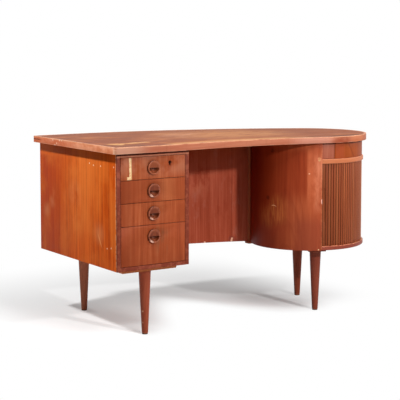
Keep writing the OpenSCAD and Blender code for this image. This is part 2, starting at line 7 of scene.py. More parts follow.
import bpy
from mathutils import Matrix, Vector


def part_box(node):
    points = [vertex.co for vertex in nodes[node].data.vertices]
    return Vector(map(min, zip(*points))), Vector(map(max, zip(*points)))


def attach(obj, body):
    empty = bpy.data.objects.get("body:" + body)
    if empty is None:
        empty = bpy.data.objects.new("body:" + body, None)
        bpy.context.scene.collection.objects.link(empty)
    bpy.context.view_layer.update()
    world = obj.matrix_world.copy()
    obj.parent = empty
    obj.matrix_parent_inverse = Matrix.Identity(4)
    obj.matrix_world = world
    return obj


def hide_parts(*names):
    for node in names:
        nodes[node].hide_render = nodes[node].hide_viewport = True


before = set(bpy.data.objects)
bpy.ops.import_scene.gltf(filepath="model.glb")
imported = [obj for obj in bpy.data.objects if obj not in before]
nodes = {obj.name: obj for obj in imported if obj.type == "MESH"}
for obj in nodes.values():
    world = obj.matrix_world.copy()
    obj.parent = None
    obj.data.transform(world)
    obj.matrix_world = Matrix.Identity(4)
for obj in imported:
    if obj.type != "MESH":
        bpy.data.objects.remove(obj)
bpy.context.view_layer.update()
pi = math.pi
MM = 1000.0

# Sizes of the desk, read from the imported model
SIDE_LOW, SIDE_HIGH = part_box("left_side_panel")
SHELF_LOW, SHELF_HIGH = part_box("drum_shelf")
RAIL_LOW, RAIL_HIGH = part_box("ring_rail")
LEFT_X = SIDE_LOW.x
FRONT_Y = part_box("drawer_1_front")[0].y
CASE_Z, CASE_TOP = SIDE_LOW.z, SIDE_HIGH.z
DRUM_X, DRUM_Y = (SHELF_LOW.x + SHELF_HIGH.x) / 2, (SHELF_LOW.y + SHELF_HIGH.y) / 2
# Lower and upper edges of the drawer fronts and middles of the pulls, in mm, from the lowest up
FRONTS, PULL_HEIGHTS = [], []
for number in (4, 3, 2, 1):
    low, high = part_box(f"drawer_{number}_front")
    FRONTS.append((low.z * MM, high.z * MM))
    low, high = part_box(f"drawer_{number}_pull")
    PULL_HEIGHTS.append((low.z + high.z) / 2 * MM)

# Radii round the drum's axis, and angles on the plan in degrees
SHELL_R, SHELL_IN, RAIL_R, TAMBOUR_R, CANVAS_R = 0.238, 0.231, 0.236, 0.2305, 0.223
OPEN_FROM, OPEN_TO = 247, 390
OPENING_MIDDLE, KNEE_MIDDLE = 318, 190
NOSING_TOP = 0.279
SLAT_PITCH, SLAT_SHIFT = 0.012, 22.43

# Widths of eased arrises
LEAF_EASE, FRONT_EASE, BOARD_EASE, SHELL_EASE = 0.0003, 0.0005, 0.0006, 0.0008
RAIL_EASE, BATTEN_EASE, SLAT_EASE, BAND_EASE = 0.0010, 0.0012, 0.0018, 0.0022
BAND_CORNER_R, RAIL_NOSE_R, NOSING_NOSE_R, INNER_CORNER_R = 0.006, 0.0045, 0.0035, 0.0004
# Distances below which points are merged, and edges count as upright or places as equal
MERGED, UPRIGHT, SAME = 0.000005, 0.0001, 0.000001


def at(x, y, z=0.0):
    """A point of the frame from millimetres to the right, behind and up."""
    return Vector((LEFT_X + x / MM, FRONT_Y + y / MM, z / MM))


# Camera, at the photograph's viewing angle
CAMERA_PLACE, CAMERA_DOWN, CAMERA_TURN = (-2.8072, -4.1530, 1.1177), 4.731, -33.414
camera_data = bpy.data.cameras.new("studio_camera")
camera = bpy.data.objects.new("studio_camera", camera_data)
bpy.context.scene.collection.objects.link(camera)
camera.location = CAMERA_PLACE
camera.rotation_euler = (math.radians(90 - CAMERA_DOWN), 0, math.radians(CAMERA_TURN))
camera_data.lens = 109.97
camera_data.sensor_width = 36
camera_data.shift_y = -0.15
bpy.context.scene.camera = camera
bpy.context.scene.view_settings.view_transform = "Standard"


# Finishes
def paint(code):
    """A colour as the eye reads it, such as b4632e, as the shader needs it."""
    shares = [int(code[k:k + 2], 16) / 255 for k in (0, 2, 4)]
    return [s / 12.92 if s <= 0.04045 else ((s + 0.055) / 1.055) ** 2.4 for s in shares] + [1]


class Value:
    """One output of a finish's nodes, which can be used in sums."""

    def __init__(self, finish, socket):
        self.finish, self.socket = finish, socket

    def math(self, operation, *others):
        return self.finish.math(operation, self, *others)

    def __add__(self, other):
        return self.math("ADD", other)

    def __radd__(self, other):
        return self.finish.math("ADD", other, self)

    def __sub__(self, other):
        return self.math("SUBTRACT", other)

    def __rsub__(self, other):
        return self.finish.math("SUBTRACT", other, self)

    def __mul__(self, other):
        return self.math("MULTIPLY", other)

    def __rmul__(self, other):
        return self.finish.math("MULTIPLY", other, self)

    def __truediv__(self, other):
        return self.math("DIVIDE", other)

    def __rtruediv__(self, other):
        return self.finish.math("DIVIDE", other, self)

    def __pow__(self, other):
        return self.math("POWER", other)

    def between(self, low, high):
        """0 at low and 1 at high, with a soft start and end. Low may be the higher number."""
        return self.finish.add("ShaderNodeMapRange", {"interpolation_type": "SMOOTHSTEP"},
                               {"Value": self, "From Min": low, "From Max": high,
                                "To Min": 0.0, "To Max": 1.0})

    def span(self, start, full, fading, end):
        """0 up to start, 1 from full to fading, and 0 again from end on."""
        return self.between(start, full) * self.between(end, fading)

    def near(self, centre, reach):
        """1 at centre, falling to 0 at a distance of reach."""
        return (self - centre).math("ABSOLUTE").between(reach, 0.0)

    def clipped(self):
        """Kept from 0 to 1."""
        return self.math("MAXIMUM", 0.0).math("MINIMUM", 1.0)


class Finish:
    """A material, with its nodes added one by one. Its shade is its colour so far."""

    # Sockets of a Mix node for colours
    MIX_SHARE, MIX_FIRST, MIX_SECOND, MIX_RESULT = 0, 6, 7, 2

    def __init__(self, name, specular, roughness=0.5, metallic=0.0):
        self.material = bpy.data.materials.new(name)
        self.material.use_nodes = True
        self.tree = self.material.node_tree
        self.shader = self.tree.nodes["Principled BSDF"]
        self.shader.inputs["Specular IOR Level"].default_value = specular
        self.shader.inputs["Metallic"].default_value = metallic
        self.shader.inputs["Roughness"].default_value = roughness
        place = self.add("ShaderNodeTexCoord", out="Object")
        parts = self.add("ShaderNodeSeparateXYZ", {}, [place]).socket.node.outputs
        self.x, self.y, self.z = (Value(self, part) for part in parts)
        self.right = (self.x - LEFT_X) * MM
        self.behind = (self.y - FRONT_Y) * MM
        self.up = self.z * MM
        self.shade = None
        self.grain = {}

    def add(self, kind, settings=None, sockets=(), out=0):
        """A node of that kind, with its settings first and then its sockets' values or links."""
        node = self.tree.nodes.new(kind)
        for key, value in (settings or {}).items():
            setattr(node, key, value)
        pairs = sockets.items() if isinstance(sockets, dict) else enumerate(sockets)
        for key, value in pairs:
            if isinstance(value, Value):
                self.tree.links.new(value.socket, node.inputs[key])
            else:
                node.inputs[key].default_value = value
        return Value(self, node.outputs[out])

    def math(self, operation, *terms):
        return self.add("ShaderNodeMath", {"operation": operation}, terms)

    def spot(self, x, y, z):
        return self.add("ShaderNodeCombineXYZ", {}, [x, y, z])

    def noise(self, where, detail=2.0, roughness=0.5):
        return self.add("ShaderNodeTexNoise", {},
                        {"Vector": where, "Scale": 1.0, "Detail": detail, "Roughness": roughness},
                        out="Fac")

    def cloud(self, x, y, z, detail=2.0, roughness=0.5):
        """Noise all through the desk, with x, y and z as its scales in 1/m."""
        return self.noise(self.spot(self.x * x, self.y * y, self.z * z), detail, roughness)

    def grime(self, scale):
        """Cloudy wear, from 0 to 1, about even in all directions."""
        return self.cloud(scale, scale, scale, 4.0, 0.6)

    def dice(self, where):
        """One number from 0 to 1 for each whole number of where."""
        return self.add("ShaderNodeTexWhiteNoise", {"noise_dimensions": "1D"},
                        {"W": where.math("FLOOR")}, out="Value")

    def mark(self, reach, right=None, behind=None, up=None):
        """1 at a place in millimetres, falling to 0 at a distance of reach. None is any place."""
        total = 0.0
        for own, place in ((self.right, right), (self.behind, behind), (self.up, up)):
            if place is not None:
                off = own - place
                total = off * off + total
        return (total ** 0.5).between(reach, 0.0)

    def marks(self, *marks):
        """Marks (reach, right, behind, up) added up."""
        total = 0.0
        for mark in marks:
            total = self.mark(*mark) + total
        return total

    def chips(self, reach, *places):
        """Ragged spots at places (right, behind, up)."""
        grit = self.cloud(400.0, 400.0, 400.0, 3.0, 0.65)
        return (self.marks(*((reach, *place) for place in places)) * 1.2 - grit).between(0.0, 0.12)

    def ramp(self, where, *stops):
        """A colour for each number of where, from stops (number, code)."""
        shade = self.add("ShaderNodeValToRGB", {}, [where])
        elements = shade.socket.node.color_ramp.elements
        while len(elements) > 1:
            elements.remove(elements[0])
        for index, (place, code) in enumerate(stops):
            stop = elements.new(place) if index else elements[0]
            stop.position, stop.color = place, paint(code)
        return shade

    def blend(self, share, first, second):
        """First colour with a share of the second. Each is a code or a Value."""
        first, second = (paint(c) if isinstance(c, str) else c for c in (first, second))
        return self.add("ShaderNodeMix", {"data_type": "RGBA"},
                        {self.MIX_SHARE: share, self.MIX_FIRST: first, self.MIX_SECOND: second},
                        out=self.MIX_RESULT)

    def tint(self, share, second):
        """The shade so far takes on a share of a second colour."""
        self.shade = self.blend(share, self.shade, second)

    def relief(self, height, depth, strength=0.6):
        bump = self.add("ShaderNodeBump", {},
                        {"Strength": strength, "Distance": depth, "Height": height})
        self.tree.links.new(bump.socket, self.shader.inputs["Normal"])

    def rough(self, value):
        self.tree.links.new(value.socket, self.shader.inputs["Roughness"])

    def done(self):
        """The material, with its shade joined to the shader."""
        self.tree.links.new(self.shade.socket, self.shader.inputs["Base Color"])
        return self.material


def timber(f, across, along, tones, seed, leaf=0.0, streaks=1.0, pore=0.5, rough=0.46):
    """Oiled teak on a finish, from places across and along the grain and a leaf's width."""
    change = 0.0
    if leaf:
        number = f.dice(across / leaf + 40.5 + seed)
        change = (number - 0.5) * 0.16
        along = along + number * 3.1
        across = across + number * 0.9
    wander = f.noise(f.spot(across * 9.0, along * 1.6, seed), 2.0)
    bent = across + (wander - 0.5) * 0.02

    def pattern(scale, stretch, shift, detail, roughness):
        return f.noise(f.spot(bent * scale, along * stretch, seed + shift), detail, roughness)

    broad = pattern(16.0, 0.9, 3.0, 3.0, 0.55)
    band = pattern(75.0, 1.8, 7.0, 4.0, 0.6)
    fine = pattern(420.0, 7.0, 11.0, 3.0, 0.6)
    dash = pattern(1500.0, 45.0, 17.0, 2.0, 0.5)
    pores = dash.between(0.60, 0.74) * fine.between(0.62, 0.38)
    tone = (broad - 0.5) * 0.8 + ((band - 0.5) * 0.8 + (fine - 0.5) * 0.6) * streaks
    dark, middle, light = tones
    f.shade = f.ramp(tone * 1.3 + 0.5 + change, (0.0, dark), (0.5, middle), (1.0, light))
    f.tint(pores * pore * 0.5, "2c120a")
    f.relief(fine * 0.6 - pores * 0.5 + band * 0.25, 0.0004, 0.3)
    f.rough(rough + (fine - 0.5) * 0.12 + pores * 0.15 + (broad - 0.5) * 0.10)
    f.grain = {"band": band, "fine": fine, "wander": wander, "across": across, "along": along}


def flames(f, middle, width, rise, start, seed):
    """Share of the dark lines of a flat-sawn leaf: arches stacked along the grain."""
    across, along = f.grain["across"], f.grain["along"]
    off = (across - middle) / width
    bend = off * off * 3.0 - off.math("ABSOLUTE") * 0.4
    stack = (along - start) * rise + bend + (f.grain["wander"] - 0.5) * 1.5
    stack = stack + (f.noise(f.spot(across * 30.0, along * 6.0, seed), 3.0) - 0.5) * 0.5
    turn = stack.math("FRACT")
    line = turn.between(0.35, 0.93) * turn.between(1.0, 0.94)
    return line * off.math("ABSOLUTE").between(1.3, 0.7)


def arc_length(f, middle, radius):
    """Length round the drum from an angle, so that a curved panel's grain follows it."""
    turn = math.radians(middle)
    dx, dy = f.x - DRUM_X, f.y - DRUM_Y
    along = dx * math.cos(turn) + dy * math.sin(turn)
    across = dy * math.cos(turn) - dx * math.sin(turn)
    return across.math("ARCTAN2", along) * radius


# Wood finishes. Some tones also follow the light and shade that the photograph shows on a piece.
def worktop_finish():
    f = Finish("worktop_veneer", 0.02)
    timber(f, f.y, f.x, ("663018", "844524", "9d5f36"), seed=1.3, leaf=0.21, pore=0.4, rough=0.44)
    cloud = f.noise(f.spot(f.x * 4.5, f.y * 10.0, 4.0), 5.0, 0.66)
    smear = f.noise(f.spot(f.x * 11.0, f.y * 30.0, 14.0), 4.0, 0.66)
    f.tint(cloud.between(0.48, 0.68) * 0.7, "a8683c")
    f.tint(cloud.between(0.50, 0.30) * 0.6, "74402c")
    f.tint(f.right.between(560, 100) * smear.between(0.60, 0.38) * 0.65, "65301f")
    f.tint(f.right.between(760, 1240) * 0.45, "8a4722")
    # The middle is bleached, and cups and elbows have worn it paler here and there
    bleached = f.marks((330, 610, 300), (240, 820, 260)).clipped()
    f.tint(bleached * (smear + 0.12).between(0.42, 0.66) * 0.75, "b27646")
    pale = f.marks((150, 470, 330), (80, 560, 400)).clipped()
    f.tint(pale * smear.between(0.44, 0.62) * 0.6, "c08a70")
    # Golden flakes near the front left corner, with a dull patch before them
    gold = f.marks((60, 48, 122), (70, 110, 112), (60, 170, 122), (40, 210, 130), (50, 55, 75))
    flaky = f.noise(f.spot(f.x * 26.0, f.y * 95.0, 24.0), 4.0, 0.7)
    gold = (gold.clipped() * 1.2 - smear * 0.9 - flaky * 0.9).between(-0.1, 0.4)
    f.tint(gold * 0.9, f.blend(flaky.between(0.35, 0.65), "d2a068", "b07a48"))
    corner = f.marks((70, 5, 52), (60, 60, 30), (50, 120, 28)).clipped()
    f.tint(corner * (flaky + 0.1).between(0.35, 0.65) * 0.6, "67422c")
    # The strip that arms have rubbed along the hollow front edge, and a dark line at the joint
    bow = (f.right - 510.0) / 340.0
    inside = f.behind - 2.0 + bow * bow * 28.0
    strip = inside.between(70, 6) * f.right.span(190, 260, 700, 960)
    f.tint(strip * (smear + 0.14).between(0.38, 0.66) * 0.8, "c48a50")
    joint = (inside.between(9, 1) + f.right.between(-6, -12) + f.behind.between(-10, -17)).clipped()
    f.tint(joint * (cloud + 0.1).between(0.35, 0.6) * 0.65, "4a2414")
    f.tint(f.chips(26, (640, 470), (668, 455), (905, 250), (930, 262)) * 0.4, "6a3a28")
    return f.done()


def edge_finish():
    f = Finish("solid_edge_band", 0.1)
    timber(f, f.z, f.x + f.y * 0.7, ("924c36", "a96248", "bd7e62"), seed=2.1, rough=0.44,
           streaks=0.7)
    foot = CASE_TOP * MM
    cross = f.cloud(90.0, 90.0, 9.0, 3.0, 0.6)
    f.tint(cross.between(0.55, 0.72) * 0.3, "8f4e37")
    rub = f.cloud(22.0, 22.0, 90.0, 4.0, 0.65)
    patchy = f.cloud(10.0, 14.0, 30.0, 4.0, 0.65)
    # The left side is paler, redder towards its rear
    left_side = f.right.between(-16.0, -21.5) * f.behind.between(-27.0, -10.0)
    f.tint(left_side * 0.85, f.blend(patchy.between(0.35, 0.65), "e08050", "fcae86"))
    f.tint(left_side * f.behind.between(180, 420) * 0.55, "cc5c34")
    # The rounded front left corner is painted pale as a highlight, broken up like rubbing, with a
    # dark line to the right of it
    rounded = f.right.between(-19.0, -21.0) * f.behind.between(-8.0, -18.0)
    f.tint(rounded * (rub + 0.1).between(0.3, 0.55) * 0.7, "f6c0a0")
    beside = f.behind.between(-24.0, -26.0) * f.right.near(-16.0, 4.0)
    f.tint(beside * 0.6, "84402e")
    upper_face = f.up.between(foot + 24.2, foot + 24.9)
    f.tint(upper_face * 0.6, f.blend(patchy.between(0.4, 0.6), "a2603f", "c68d6b"))
    # Along the front: greyer at the left end, then paler, stained, orange and dark at the right
    left_end = f.right.span(-22, -8, 30, 150) * f.behind.between(-15, -26)
    f.tint(left_end * 0.6, "c4957c")
    f.tint(f.right.between(1090, 1150) * f.behind.between(150, 60) * 0.35, "c08468")
    f.tint(f.right.span(740, 860, 940, 975) * f.behind.between(60, 20) * 0.18, "e6b6a6")
    stain = f.right.span(945, 1000, 1020, 1065) * f.behind.between(0, -30)
    f.tint(stain * (rub + 0.08).between(0.3, 0.6) * 0.65, "86341a")
    f.tint(f.right.between(1030, 1080) * f.behind.between(60, 0) * 0.45, "c06a3a")
    f.tint(f.right.between(1120, 1160) * f.behind.between(140, 60) * 0.5, "93452a")
    # Rubbed arrises
    f.tint(f.up.between(foot + 20.0, foot + 24.0) * rub.between(0.30, 0.58) * 0.7, "dca17c")
    f.tint(f.up.between(foot + 3.4, foot + 0.6) * rub.between(0.42, 0.66) * 0.6, "cf9678")
    # Painted highlight down the front left corner, broken up like rubbing
    f.tint(f.mark(12, -20, -25) * rub.between(0.3, 0.6) * 0.5, "e2b392")
    # Chips on the left side, and the split at its rear
    chip = f.chips(7, (-21, 470, foot + 20), (-21, 438, foot + 9), (-21, 452, foot + 2),
                   (-21, 395, foot + 23), (-21, 412, foot + 22))
    f.tint(chip, "f0c9ac")
    split = f.up.near(foot + 14.0, 3.5) * f.behind.between(560, 610) * f.right.between(60, 0)
    f.tint(split, "3a1810")
    return f.done()


def side_finish():
    f = Finish("side_panel_veneer", 0.03)
    timber(f, f.y, f.z, ("a83c0c", "cd5412", "e66e26"), seed=5.2, leaf=0.155, rough=0.47,
           streaks=1.7)
    outer = f.right.between(20, 10)
    haze = f.cloud(3.0, 6.0, 4.0, 4.0, 0.62)
    f.tint(f.behind.between(300, 560) * 0.6, "ac3406")
    dark_lines = f.noise(f.spot(f.y * 130.0, f.z * 1.4, 5.0), 3.0, 0.6)
    f.tint(dark_lines.between(0.56, 0.70) * 0.55, "8e2c08")
    clouds = f.marks((40, None, 496, 508), (46, None, 575, 430), (75, None, 330, 520),
                     (60, None, 135, 390), (40, None, 520, 470)).clipped()
    f.tint(clouds * (haze + 0.12).between(0.42, 0.62) * outer * 0.33, "e59a66")
    f.tint(haze.between(0.46, 0.68) * 0.5, "e0762e")
    middle = f.behind.near(300, 230) * f.up.between(300, 420) * (haze + 0.1).between(0.4, 0.65)
    f.tint(middle * 0.45, "e8823c")
    f.tint(haze.between(0.44, 0.26) * 0.4, "b04a14")
    specks = f.chips(5.5, (0, 208, 649), (0, 176, 644), (0, 121, 645), (0, 21, 649), (0, 74, 341),
                     (0, 44, 346))
    f.tint(specks, "f3cfa4")
    # Painted shade along the shadow under the worktop, darker in the middle, and painted light at
    # both ends
    f.tint(f.up.between(662, 668) * f.behind.span(20, 130, 420, 560) * 0.4, "8e2c06")
    f.tint(f.up.between(646, 664) * f.behind.between(480, 590) * 0.5, "ee6c22")
    f.tint(f.up.between(662, 670) * f.behind.between(110, 40) * 0.25, "ee6c22")
    slanted = (f.up - 362.0 - (f.behind - 129.0) * 1.6).near(0.0, 9.0)
    smear = slanted * f.mark(40, None, 129, 362) * outer
    f.tint((smear * 1.5).clipped() * 0.5, "f0a868")
    rub = f.grime(60.0)
    arris = f.behind.between(10.5, 7.5) * f.right.between(1.5, 0.5)
    f.tint(arris * rub.between(0.36, 0.56) * 0.8, "f3b684")
    f.tint(f.up.between(266, 262.5) * rub.between(0.42, 0.6) * 0.4, "a8592c")
    return f.done()


def drawer_finish():
    f = Finish("drawer_front_veneer", 0.09)
    timber(f, f.x, f.z, ("7a3014", "984624", "b0603a"), seed=8.8, leaf=0.094, pore=0.6, rough=0.5,
           streaks=1.35)
    cloud = f.grime(9.0)
    f.tint(f.up.between(590, 640) * cloud.between(0.36, 0.60) * 0.6, "ab6a4e")
    # Tones of single leaves on the second drawer, on all but the top one, and on the deep one
    deep_top = FRONTS[0][1]
    low, high = FRONTS[2]
    below_top = f.up.between(high + 0.8, high)
    second = below_top * f.up.between(low - 1.0, low)
    f.tint(second * f.right.between(230, 170) * 0.55, "893a1c")
    f.tint(second * f.right.span(185, 205, 240, 262) * 0.3, "b4683f")
    f.tint(second * f.right.between(225, 250) * 0.35, "8e4020")
    f.tint(below_top * f.right.between(66, 54) * 0.4, "7a2f14")
    f.tint(f.up.between(deep_top + 1.0, deep_top + 0.2) * 0.3, "86381a")
    f.tint(cloud.between(0.52, 0.34) * 0.45, "853818")
    f.tint((f.right.near(106.0, 1.6) + f.right.near(201.0, 1.6)) * 0.4, "5a2210")
    # Greyed by hands round the pulls
    grey = 0.0
    for low, high in FRONTS:
        grey = f.mark(75, 163, None, high - 36.0) * f.up.span(low - 1, low, high, high + 1) + grey
    f.tint(grey.clipped() * (cloud + 0.05).between(0.38, 0.60) * 0.28, "6e3c24")
    smudge = f.marks((60, 188, None, 392), (50, 200, None, 340)).clipped()
    smudge = smudge * f.up.between(deep_top + 1.0, deep_top)
    f.tint(smudge * (cloud + f.grain["band"] - 0.5).between(0.40, 0.62) * 0.55, "5e3c26")
    f.tint(f.right.between(70, 20) * f.up.between(400, 300) * 0.35, "7c2f12")
    # Dark worn arrises, but for the topmost
    rub = f.grime(120.0)
    worn = f.right.between(21, 18) + f.right.between(293, 296)
    for edge in sum(FRONTS, ())[:-1]:
        worn = f.up.near(edge, 2.4) + worn
    f.tint(worn.clipped() * rub.between(0.36, 0.60) * 0.55, "5f2613")
    # Where a strip of the top drawer's veneer is missing, the pale wood beneath shows
    ragged = (rub - 0.5) * 4.0
    strip = (f.right + ragged - 58.2 + (f.up - 645.0) * 0.018).near(0.0, 6.0).between(0.05, 0.2)
    strip = strip * f.up.span(602, 604, 681.2, 682.6)
    foot = (f.right + ragged - 53.0).near(0.0, 11.4).between(0.05, 0.2) * f.up.between(600, 602)
    foot = foot * (f.up + ragged * 0.6).between(612.5, 611)
    bare = (strip + foot).clipped() * f.behind.between(1.0, 0.4)
    f.tint(bare, f.blend(rub.between(0.42, 0.6), "dcae79", "ecc998"))
    # Painted shade of the keyhole: a dark spot
    f.tint(f.mark(10, 229, None, 657.5).between(0.12, 0.3) * 0.8, "2a120a")
    f.relief(f.grain["fine"] * 0.5 + bare * -2.0, 0.0005, 0.4)
    return f.done()


def modesty_finish():
    f = Finish("modesty_panel_veneer", 0.06)
    timber(f, f.x, f.z, ("8a361e", "a54930", "ba6046"), seed=12.4, pore=0.6, rough=0.52,
           streaks=1.2)
    pink = f.cloud(26.0, 16.0, 11.0, 4.0, 0.65)
    cloud = (f.mark(85, 600, None, 512) + f.mark(60, 640, None, 560) * 0.5).clipped()
    f.tint(cloud * pink.between(0.38, 0.60) * 0.45, "cc7455")
    f.tint(pink.between(0.47, 0.28) * 0.5, "8e321a")
    f.tint(pink.between(0.56, 0.72) * 0.4, "b46a56")
    # Painted shade along the top, under the worktop
    f.tint(f.up.between(590, 660) * 0.5, "8c3816")
    f.tint(f.right.near(747.0, 2.0) * 0.45, "5c2012")
    # Painted shade on the right part, in the drum's shadow
    f.tint(f.right.between(752.0, 768.0) * 0.2, "7a3426")
    f.tint(f.right.between(560.0, 500.0) * 0.35, "78301c")
    scuff = (f.mark(30, 748, None, 272) * 1.4 - pink * 0.8).between(0.05, 0.3)
    f.tint(scuff * 0.5, "7b3a30")
    f.tint(f.chips(8, (634, None, 264), (746, None, 268), (748, None, 276)), "e6b190")
    return f.done()


def shell_finish():
    f = Finish("curved_panel_veneer", 0.09)
    arc = arc_length(f, KNEE_MIDDLE, SHELL_R)
    timber(f, arc, f.z, ("82331a", "9e4727", "b45c37"), seed=15.1, rough=0.46)
    # Painted shade, deep red, towards the modesty panel, on the kneehole's panel alone
    kneehole = f.behind.between(312, 298)
    f.tint(arc.between(0.13, -0.02) * kneehole * 0.8, "7e240a")
    f.tint(arc.between(-0.02, -0.08) * kneehole * 0.85, "6a1402")
    f.tint(flames(f, 0.085, 0.085, 9.0, 0.30, 15.0) * 0.2, "6d2410")
    # Painted shade over the upper left, under the worktop
    upper_left_painted_shade = f.up.span(440, 520, 655, 690) * arc.span(-0.05, 0.08, 0.172, 0.179)
    f.tint(upper_left_painted_shade * 0.75, f.ramp(f.grain["band"], (0.3, "76240e"), (0.7, "983a1c")))
    cloud = f.noise(f.spot(arc * 11.0, f.z * 6.0, 2.0), 4.0, 0.62)
    # Painted light on the right part of the panel
    bright = arc.between(0.172, 0.184) * f.up.span(400, 520, 620, 690)
    f.tint(bright * cloud.between(0.32, 0.56) * 0.75, "c0633f")
    f.tint(cloud.between(0.46, 0.26) * 0.4, "7c2e18")
    f.tint(f.up.between(430, 360) * arc.between(0.10, 0.16) * 0.6, "853824")
    # A pale rubbed patch with scratches, and two knots
    rub = f.grime(70.0)
    strokes = f.noise(f.spot(arc * 210.0, f.z * 12.0, 6.0), 3.0, 0.6)
    patch = f.marks((65, 799, 82, 440), (50, 803, 75, 395), (75, 776, 128, 395)).clipped()
    f.tint(patch * strokes.between(0.34, 0.66) * 0.7, "be6a36")
    knots = (f.mark(17, 784, 131, 470) * 1.3 - rub * 0.5).between(0.1, 0.7)
    knots = (f.mark(26, 780, 105, 664) * 1.3 - rub * 0.6).between(0.1, 0.7) + knots
    f.tint(knots.clipped() * 0.6, "4a1608")
    off = f.right - 791.0
    arch = (f.up - 441.0 + off * off * 0.25).near(0.0, 2.4)
    f.tint(arch * f.mark(9, 791, None, 440) * f.behind.between(115, 105), "f0b080")
    # A light worn edge beside the opening, with a bruise at hand height and a plug near the top
    edge = f.right.between(919.5, 925.5) * f.behind.between(60, 20)
    f.tint(edge * rub.between(0.40, 0.62) * 0.45, "cf7f52")
    # Painted light, pink, on the panel beside the edge
    pink_painted_light = f.right.between(888, 908) * f.up.span(400, 460, 600, 670)
    f.tint(pink_painted_light * cloud.between(0.3, 0.6) * 0.4, "cf8a6a")
    f.tint(f.chips(8, (926, -44, 462), (926, -44, 455), (926, -44, 468)), "e0aa98")
    plug = f.mark(11, 914, -41, 634).between(0.05, 0.3)
    f.tint(plug * rub.between(0.3, 0.5) * 0.7, "d08a60")
    f.tint(f.chips(4.5, (879, None, 576)), "e3b08c")
    return f.done()


def fascia_finish():
    f = Finish("fascia_veneer", 0.1)
    arc = arc_length(f, OPENING_MIDDLE, SHELL_R)
    timber(f, arc, f.z, ("7a310e", "914015", "a85424"), seed=18.3, rough=0.44)
    # The left leaf is pinker, with a dark seam and a knot to the right of it
    front = f.behind.between(0, -20)
    mixed = f.grain["fine"] * 0.5 + f.grain["band"] * 0.5
    pinkish = f.ramp(mixed, (0.25, "8d4632"), (0.5, "9f5842"), (0.75, "ae6b54"))
    f.tint(f.right.between(980.6, 979.4) * front, pinkish)
    f.tint(f.right.near(979.9, 1.1) * front * 0.8, "4c1c0e")
    f.tint(f.mark(22, 992, -61, 672) * f.grain["band"].between(0.3, 0.6) * 0.7, "6c2a14")
    # Painted shade along the top, under the worktop
    f.tint(f.up.between(689, 696) * 0.7, "3a1008")
    f.tint(f.right.span(984, 988, 1020, 1040) * 0.45, "a84c2e")
    slant = ((f.up - 665.0) * 0.6 + f.right - 1072.0).near(0.0, 9.0) * front
    f.tint(slant * f.grain["band"].between(0.25, 0.6) * 0.6, "6e260e")
    edge = (f.up.between(638, 634.5) + f.right.between(931, 928.5) * front).clipped()
    f.tint(edge * f.grime(60.0).between(0.4, 0.6) * 0.5, "6e2e18")
    return f.done()


def tambour_finish():
    f = Finish("tambour_slats", 0.09)
    arc = arc_length(f, OPENING_MIDDLE, TAMBOUR_R)
    place = arc / SLAT_PITCH + SLAT_SHIFT
    number = f.dice(place)
    timber(f, arc, f.z + number * 2.0, ("743015", "8d4526", "a35a35"), seed=21.7, pore=0.6,
           rough=0.48)
    f.tint(number.between(0.45, 1.0) * 0.3, "74331a")
    f.tint(number.between(0.40, 0.0) * 0.3, "a0603a")
    # Painted shade on the left part and painted light on the right part
    f.tint(arc.between(-0.17, -0.29) * 0.5, "662d16")
    f.tint(arc.between(-0.09, 0.08) * 0.7, "b8683f")
    f.tint(arc.span(-0.05, 0.03, 0.06, 0.16) * 0.6, "d48a5c")
    # Painted shade in the gaps between the slats
    f.tint(place.math("FRACT").near(0.5, 0.5).between(0.16, 0.02) * 0.75, "32150b")
    return f.done()


def rail_finish(name, tones, seed):
    f = Finish(name, 0.12)
    timber(f, f.z, arc_length(f, OPENING_MIDDLE, SHELL_R), tones, seed, rough=0.42, streaks=0.7)
    upper = f.up.between(RAIL_HIGH.z * MM - 3.0, RAIL_HIGH.z * MM - 0.5)
    lower_nose = f.up.span(276.0, 278.5, 290.0, 300.0)
    f.tint((upper + lower_nose).clipped() * f.grime(45.0).between(0.34, 0.58) * 0.6, "d79069")
    return f.done()


def dark_finish():
    f = Finish("dark_solid_teak", 0.09)
    timber(f, f.x + f.y * 0.8, f.z, ("5c2314", "73301f", "873f2c"), seed=26.5, streaks=0.8)
    arris = f.behind.between(1.6, 0.3)
    f.tint(arris * f.grime(50.0).between(0.45, 0.65) * 0.35, "a85c42")
    # The rail above the drawers: painted shade under the worktop, and painted light at its foot
    rail = f.right.span(-1, 1, 315, 318) * f.behind.between(16, 8)
    f.tint(rail * f.up.between(690.5, 693.5) * 0.75, "2c0e08")
    f.tint(rail * f.up.span(683, 685, 689, 691.5) * 0.6, "c88060")
    # Painted light on the strip in the corner beside the drum, which lies in shade, and a painted
    # light line down it
    left, right = ((corner.x - LEFT_X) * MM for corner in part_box("junction_bead"))
    strip = f.right.span(left - 1.0, left, right, right + 1.0) * f.behind.span(230, 240, 350, 360)
    f.tint(strip * 0.8, "a4603f")
    # Painted light on the front of the battens under the pedestal, which lie in shade
    batten_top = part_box("pedestal_leg_battens")[1].z * MM
    batten = f.up.between(batten_top + 0.6, batten_top - 0.4) * f.right.between(340, 320)
    f.tint(batten * f.behind.between(0, 40) * 0.85, "d27a44")
    # The strip's painted light line
    f.tint(strip * f.right.between(right - 5.0, right - 3.0) * 0.9, "d2946a")
    return f.done()


